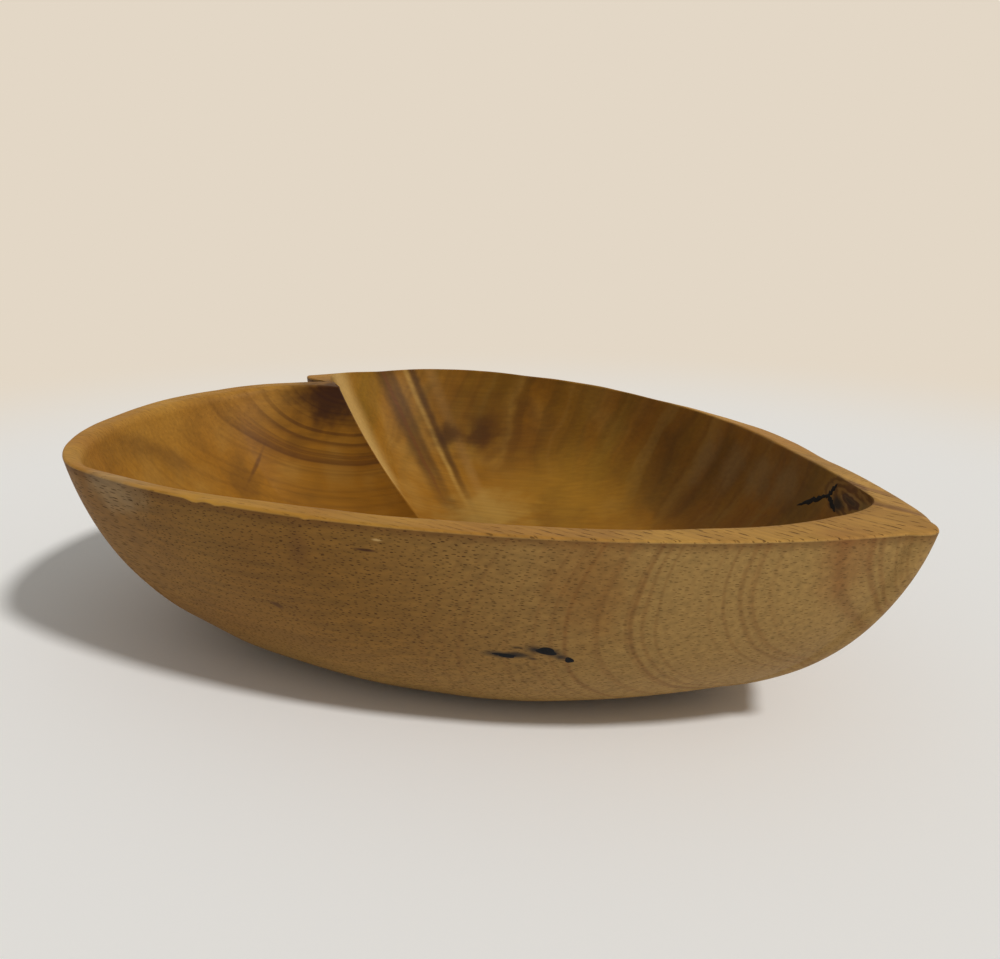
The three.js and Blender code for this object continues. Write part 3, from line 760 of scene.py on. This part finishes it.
def carved_wood():
    material, tree, shader, spot = new_material("oiled_open_pored_hardwood")
    add = partial(add_node, tree)
    hollow, on_rim, round_mm, on_wall = (
        add("ShaderNodeAttribute", {"attribute_name": name}).outputs[value] for name, value in (
            ("in_hollow", "Fac"), ("on_rim", "Fac"), ("round_mm", "Fac"), ("wall_mm", "Vector")))
    outside = add(MATH, MINUS, (1.0, hollow))
    outside = add(MATH, MINUS, (outside, on_rim))
    patches = add(NOISE, None, {"Vector": spot, "Scale": 1 / (PATCH_SIZE * MM), "Detail": 2.0})
    split = add(SEPARATE, None, {0: spot}).outputs
    from_tip = add(MATH, MINUS, (split["Y"], SHIFT[1] * MM))
    square = add(MATH, TIMES, (from_tip, from_tip))
    bent = add(MATH, TIMES_PLUS, (square, FIBRE_BEND, split["X"]))
    fibre = add("ShaderNodeCombineXYZ", None, {"X": bent, "Y": split["Y"], "Z": split["Z"]})
    along = add(MAPPING, AS_TEXTURE, {
        "Vector": fibre, "Scale": (STREAK_WIDTH * MM, STREAK_LENGTH * MM, STREAK_WIDTH * MM)})
    streaks = add(NOISE, None, {"Vector": along, "Scale": 1.0, "Detail": 3.0})
    pores = open_pores(tree, fibre, bent, from_tip, patches, on_rim, outside, on_wall)

    tone = add(RANGE, SOFT_STEP, {"Value": patches, **between(PATCH_TONES)})
    colour = stain(tree, "#b38334", "#a26f27", tone)
    up_wall = add(SEPARATE, None, {0: on_wall}).outputs["Y"]
    # painted light: the foot of the outer wall is paler, as if lit by light thrown up from the table
    painted_bounce_on_foot = add(RANGE, SOFT_STEP, {"Value": up_wall, **between(PAINTED_BOUNCE_RISE)})
    painted_bounce_on_foot = add(MATH, TIMES, (painted_bounce_on_foot, outside))
    # painted shade with dark fibres: a dark band just under the rim
    shade_and_fibres_under_rim = add(RANGE, SOFT_STEP, {
        "Value": up_wall, "From Min": wall_top - UNDER_RIM, "From Max": wall_top})
    pale_tip = add(RANGE, SOFT_STEP, {"Value": from_tip, **between(PALE_TIP, MM)})
    bare = add(MATH, TIMES_PLUS, (on_rim, TIP_ON_RIM, outside))
    pale_tip = add(MATH, TIMES, (pale_tip, bare))
    # the outer wall's darker tone is partly painted shade
    for zone, shade, strength in (
        (hollow, "#8c5a04", 0.80), (outside, "#74501c", 0.77), (painted_bounce_on_foot, "#a88c58", 0.50),
        (pale_tip, "#b0925a", 0.46), (shade_and_fibres_under_rim, "#5a3512", 0.55),
    ):
        colour = stain(tree, colour, shade, zone, strength)
    colour = growth_lines(tree, spot, from_tip, colour, outside)
    colour = hollow_figure(tree, spot, colour, hollow, round_mm)
    colour = knot_swirl(tree, spot, colour)
    edge = uneven_edge(tree, spot)
    for mark in [*MARKS.values(), *KNOT_MARKS.values()]:
        colour = wood_mark(tree, spot, edge, colour, *mark)
    for mark in RIM_MARKS.values():
        colour = wood_mark(tree, spot, edge, colour, *mark, turn=0.0)
    streaky = add(RANGE, None, {"Value": hollow, "To Min": STREAK_TONE[0], "To Max": STREAK_TONE[1]})
    colour = add(MIX, {"data_type": "RGBA", "blend_type": "OVERLAY"}, {0: streaky, 6: colour, 7: streaks})
    colour = stain(tree, colour, "#432709", pores)

    rough = add(MATH, TIMES_PLUS, (pores, PORE_DULL, SATIN))
    relief = add(MATH, TIMES, (streaks, STREAK_RELIEF))
    relief = add(MATH, MINUS, (relief, pores))
    bump = add("ShaderNodeBump", None, {
        "Strength": RELIEF_STRENGTH, "Distance": RELIEF_DEPTH * MM, "Height": relief})
    set_inputs(tree, shader, {
        "Base Color": colour, "Roughness": rough, "Normal": bump,
        "IOR": OIL_IOR, "Specular IOR Level": OIL_SHEEN})
    return material


wood = carved_wood()
print("nodes in the wood:", len(wood.node_tree.nodes))

# %% [markdown]
# A hand-carved wall is never quite even: the gouge and the scraper leave shallow waves. They could be
# sculpted, but they follow the whole surface by one rule, so a small node tree moves each point in or out
# along its normal by a soft noise. The flat base stays flat, so that the bowl stands level.

# %% Waves of the gouge
GOUGE_DEPTH, GOUGE_SIZE, GOUGE_SEED, FLAT_ZONE = 0.7, 34.0, 3.0, 5.0


def gouge_tree():
    tree = bpy.data.node_groups.new("hand_carved_waves", "GeometryNodeTree")
    add = partial(add_node, tree)
    face = tree.interface
    face.new_socket("Geometry", in_out="INPUT", socket_type="NodeSocketGeometry")
    sizes = {
        name: face.new_socket(name, in_out="INPUT", socket_type="NodeSocket" + kind).identifier
        for name, kind in (
            ("Depth", "Float"), ("Wave size", "Float"), ("Seed", "Float"), ("Flat zone", "Float"),
            ("Wood", "Material"),
        )
    }
    face.new_socket("Geometry", in_out="OUTPUT", socket_type="NodeSocketGeometry")
    given = add("NodeGroupInput").outputs
    place = add("GeometryNodeInputPosition")
    scale = add(MATH, OVER, (1.0, given["Wave size"]))
    noise = add(NOISE, {"noise_dimensions": "4D"}, {
        "Vector": place, "W": given["Seed"], "Scale": scale, "Detail": 1.0})
    centred = add(MATH, MINUS, (noise, NOISE_MIDDLE))
    level = add(SEPARATE, None, {0: place}).outputs["Z"]
    raised = add(RANGE, SOFT_STEP, {"Value": level, "From Min": 0.0, "From Max": given["Flat zone"]})
    amount = add(MATH, TIMES, (centred, given["Depth"]))
    amount = add(MATH, TIMES, (amount, raised))
    normal = add("GeometryNodeInputNormal").outputs[0]
    offset = add(VECTOR, {"operation": "SCALE"}, {0: normal, "Scale": amount})
    moved = add("GeometryNodeSetPosition", None, {"Geometry": given["Geometry"], "Offset": offset})
    whole = add("GeometryNodeRealizeInstances", None, {"Geometry": moved})
    dressed = add("GeometryNodeSetMaterial", None, {"Geometry": whole, "Material": given["Wood"]})
    add("NodeGroupOutput", None, {"Geometry": dressed})
    return tree, sizes


def carve_waves(piece, material):
    tree, sizes = gouge_tree()
    modifier = piece.modifiers.new("waves", "NODES")
    modifier.node_group = tree
    values = {"Depth": 2 * GOUGE_DEPTH * MM, "Wave size": GOUGE_SIZE * MM, "Seed": GOUGE_SEED,
              "Flat zone": FLAT_ZONE * MM, "Wood": material}
    for name, value in values.items():
        modifier[sizes[name]] = value
    seen = piece.evaluated_get(bpy.context.evaluated_depsgraph_get())
    plain = bpy.data.meshes.new_from_object(seen)
    piece.modifiers.remove(modifier)
    piece.data = plain
    plain.name = piece.name


carve_waves(bowl, wood)
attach(bowl, "root")
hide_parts("bowl_body")
print("body after carving:", len(bowl.data.polygons), "faces, material", bowl.data.materials[0].name)

# %% [markdown]
# The flaws of the wood are packed with dark filler, which sits a hair proud of the wall with an uneven
# edge. Each one is a thin closed lens that is laid on the finished skin of the body: every point of a small
# grid is moved to the nearest point of that skin, then lifted in the middle and sunk at the edge.

# %% Lenses of filler on the walls
FILL_PROUD, FILL_EDGE, FILL_SUNK, WELD = 0.10, 0.08, 1.5, 0.01
BLOT_RINGS, BLOT_STEPS, BLOT_WAVES, WAVE_HEIGHTS, WAVE_STARTS = 7, 32, (2, 3, 5), (0.4, 1.0), (0, 6.28)
CRACK_STEPS, CRACK_ACROSS = 14, (-1, -0.6, -0.2, 0.2, 0.6, 1)
CRACK_END, CRACK_SWELL, CRACK_WIDTHS = 0.12, 0.8, (0.75, 1.2)
skin = skin_of(bowl)


def lens(name, rows, closed_rows):
    """Rows of (point, share from the middle to the edge) laid on the skin and closed below."""
    width = len(rows[0])
    top, under = [], []
    for row in rows:
        for point, share in row:
            on, normal, _, _ = skin.find_nearest(point)
            top.append(on + normal * (FILL_PROUD * (1 - share * share) - FILL_EDGE * share**4) * MM)
            under.append(on - normal * FILL_SUNK * MM)
    size = len(top)
    faces = []
    wraps = width if closed_rows else width - 1
    for r in range(len(rows) - 1):
        for c in range(wraps):
            a, b = r * width + c, r * width + (c + 1) % width
            faces.append((a, b, b + width, a + width))
            faces.append((a + size, a + width + size, b + width + size, b + size))
    for c in range(wraps):
        a, b = (len(rows) - 1) * width + c, (len(rows) - 1) * width + (c + 1) % width
        faces.append((a, b, b + size, a + size))
        if not closed_rows:
            a, b = c, c + 1
            faces.append((b, a, a + size, b + size))
    if not closed_rows:
        for r in range(len(rows) - 1):
            for a, b in ((r * width, (r + 1) * width), ((r + 2) * width - 1, (r + 1) * width - 1)):
                faces.append((a, b, b + size, a + size))
    made = mesh_object(name, top + under, faces)
    clean = bmesh.new()
    clean.from_mesh(made.data)
    bmesh.ops.remove_doubles(clean, verts=clean.verts, dist=WELD * MM)
    bmesh.ops.recalc_face_normals(clean, faces=clean.faces)
    clean.to_mesh(made.data)
    clean.free()
    return made


def blot(name, middle, along, half_length, half_height, uneven, seed):
    draw = random.Random(seed)
    on, normal, _, _ = skin.find_nearest(middle)
    side = (along - normal * normal.dot(along)).normalized()
    up = normal.cross(side)
    waves = [(k, uneven * draw.uniform(*WAVE_HEIGHTS) / k, draw.uniform(*WAVE_STARTS)) for k in BLOT_WAVES]
    rows = []
    for ring in range(BLOT_RINGS + 1):
        share = ring / BLOT_RINGS
        row = []
        for step in range(BLOT_STEPS):
            a = 2 * math.pi * step / BLOT_STEPS
            size = share * (1 + sum(h * math.sin(k * a + p) for k, h, p in waves)) * MM
            out = side * half_length * size * math.cos(a) + up * half_height * size * math.sin(a)
            row.append((on + out, share))
        rows.append(row)
    return lens(name, rows, True)


def crack(name, ends, half_width, jag, seed):
    draw = random.Random(seed)
    start, end = ends
    _, normal, _, _ = skin.find_nearest((start + end) / 2)
    across = normal.cross(end - start).normalized()
    rows = []
    for k in range(CRACK_STEPS + 1):
        t = k / CRACK_STEPS
        swell = CRACK_END + math.sin(math.pi * t) ** CRACK_SWELL
        half = half_width * MM * swell * draw.uniform(*CRACK_WIDTHS)
        swing = jag * MM * math.sin(math.pi * t) * draw.uniform(-1, 1)
        middle = start.lerp(end, t) + across * swing
        rows.append([(middle + across * half * s, abs(s)) for s in CRACK_ACROSS])
    return lens(name, rows, False)


print("skin for the flaws:", len(bowl.data.vertices), "points")

# %% [markdown]
# Filler in old holes is near black, rough and dull, with a little blue in it where it has dyed the wood.
# The knot is dark end-grain wood with its own small rings, so it gets its own material. Its rings are ovals
# that follow its shape on the wall.

# %% Filler and knot
FILLER_GRIT, GRIT_STRENGTH, GRIT_DEPTH = 0.8, 0.5, 0.2
FILLER_ROUGH, FILLER_SHEEN = 0.85, 0.15
KNOT_RINGS, KNOT_HEART, HEART_STRENGTH = 1.6, (0.55, 0.15), 0.9


def dark_filler():
    material, tree, shader, spot = new_material("dark_wood_filler")
    grit = add_node(tree, NOISE, None, {"Vector": spot, "Scale": 1 / (FILLER_GRIT * MM), "Detail": 3.0})
    colour = stain(tree, "#0b0d10", "#232426", grit)
    bump = add_node(tree, "ShaderNodeBump", None, {
        "Strength": GRIT_STRENGTH, "Distance": GRIT_DEPTH * MM, "Height": grit})
    set_inputs(tree, shader, {
        "Base Color": colour, "Roughness": FILLER_ROUGH, "Normal": bump, "Specular IOR Level": FILLER_SHEEN})
    return material


def knot_wood():
    material, tree, shader, spot = new_material("dark_knot_end_grain")
    reach, wave = swirl_wave(tree, spot, KNOT_RINGS)
    colour = stain(tree, "#4a2c12", "#94703a", wave)
    heart = add_node(tree, RANGE, SOFT_STEP, {
        "Value": reach, **between(KNOT_HEART), "To Max": HEART_STRENGTH})
    colour = stain(tree, colour, "#24120a", heart)
    edge = uneven_edge(tree, spot)
    for mark in KNOT_MARKS.values():
        colour = wood_mark(tree, spot, edge, colour, *mark)
    set_inputs(tree, shader, {"Base Color": colour, "Roughness": SATIN, "Specular IOR Level": OIL_SHEEN})
    return material


def finish_flaw(piece, material, node):
    piece.data.materials.append(material)
    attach(piece, "root")
    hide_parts(node)


filler = dark_filler()
print("nodes in the filler:", len(filler.node_tree.nodes))

# %% [markdown]
# Three holes in the front wall are filled, and so is the forked split beside the knot, which is three cracks
# joined into one piece. Each place is a share of the way along a stretch of the wall and a share of the way
# up it, so the flaws stay on the wall if the bowl's shape is changed.

# %% Fillings in the front, the knot and the split
FRONT_HOLES = (("long", 0.432, 0.648, 4.0, 1.0, 0.5), ("large", 0.384, 0.68, 3.8, 1.7, 0.45),
               ("small", 0.352, 0.648, 1.7, 1.3, 0.4))
SPLIT_ENDS = (((0.36, 0.85), (0.60, 0.945)), ((0.575, 0.925), (0.625, 0.985)), ((0.575, 0.94), (0.70, 0.905)))
SPLIT_HALF_WIDTH, SPLIT_JAG, KNOT_UNEVEN = 1.15, 0.35, 0.12
FRONT_SEED, KNOT_SEED, SPLIT_SEED = 11, 21, 31

for number, (label, share, rise, *shape) in enumerate(FRONT_HOLES):
    middle = wall_point(outer_wall, WIDE_SIDE, share, rise)
    beside = wall_point(outer_wall, WIDE_SIDE, share + STEP_ASIDE, rise)
    piece = blot("front_filler_" + label, middle, beside - middle, *shape, FRONT_SEED + number)
    finish_flaw(piece, filler, "front_fill_" + label)

knot = blot("oval_knot", knot_middle, knot_along, KNOT_HALF_LENGTH, KNOT_HALF_HEIGHT, KNOT_UNEVEN, KNOT_SEED)
finish_flaw(knot, knot_wood(), "tip_knot")

cracks = []
for number, ends in enumerate(SPLIT_ENDS):
    points = [wall_point(inner_wall, FLANK, *end) for end in ends]
    cracks.append(crack("split_filler", points, SPLIT_HALF_WIDTH, SPLIT_JAG, SPLIT_SEED + number))
with bpy.context.temp_override(active_object=cracks[0], selected_editable_objects=cracks):
    bpy.ops.object.join()
finish_flaw(cracks[0], filler, "tip_split_fill")

# %% [markdown]
# The table is a plain pale floor. Close to the bowl it is a matt surface that keeps the shadow, and further
# out it fades to the even pale tone of the background, for what the camera sees alone.

# %% Table
TABLE_REACH, TABLE_SIDES, TABLE_FADE, TABLE_ROUGH = 12.0, 96, (0.30, 0.62), 0.75
BACKDROP = "#e3d7c6"


def seen_directly(tree):
    path = add_node(tree, "ShaderNodeLightPath").outputs
    straight = add_node(tree, MATH, LARGER, (path["Is Camera Ray"], path["Is Glossy Ray"]))
    return add_node(tree, MATH, LARGER, (straight, path["Is Transmission Ray"]))


def table_object():
    angles = [2 * math.pi * k / TABLE_SIDES for k in range(TABLE_SIDES)]
    edge = [(TABLE_REACH * math.cos(a), TABLE_REACH * math.sin(a), cad_low.z) for a in angles]
    made = mesh_object("table", edge, [tuple(range(TABLE_SIDES))])
    material, tree, shader, spot = new_material("pale_table")
    add = partial(add_node, tree)
    set_inputs(tree, shader, {"Base Color": hex_colour("#faf8f4"), "Roughness": TABLE_ROUGH})
    away = add(VECTOR, LENGTH, {0: spot})
    far = add(RANGE, SOFT_STEP, {"Value": away, **between(TABLE_FADE)})
    factor = add(MATH, TIMES, (far, seen_directly(tree)))
    glow = add("ShaderNodeEmission", None, {"Color": hex_colour(BACKDROP)})
    mixed = add("ShaderNodeMixShader", None, (factor, shader, glow))
    set_inputs(tree, tree.nodes["Material Output"], {"Surface": mixed})
    made.data.materials.append(material)
    return made


table_object()
print("table fades between", TABLE_FADE, "m from the bowl")

# %% [markdown]
# The light is soft: one broad sun from the tip's side and above, where the shadow in the picture points back
# to, and an even sky. A near lamp would fan the shadow out.

# %% Light
SUN_FROM, SUN_SOFTNESS, SUN_STRENGTH = Vector((0.076, -0.666, 0.743)), math.radians(7), 2.0
SKY_STRENGTH, SKY_COLOUR = 0.38, "#e6e6e4"

sun = bpy.data.objects.new("soft_sun", bpy.data.lights.new("soft_sun", "SUN"))
sun.data.energy = SUN_STRENGTH
sun.data.angle = SUN_SOFTNESS
sun.rotation_euler = (-SUN_FROM).to_track_quat("-Z", "Y").to_euler()
bpy.context.scene.collection.objects.link(sun)

world = bpy.data.worlds.new("studio")
bpy.context.scene.world = world
world.use_nodes = True
sky = world.node_tree
strength = add_node(sky, RANGE, None, {"Value": seen_directly(sky), "To Min": SKY_STRENGTH, "To Max": 1.0})
tint = stain(sky, SKY_COLOUR, BACKDROP, seen_directly(sky))
set_inputs(sky, sky.nodes["Background"], {"Color": tint, "Strength": strength})
print("sun from", [round(v, 3) for v in SUN_FROM], "sky", SKY_STRENGTH)
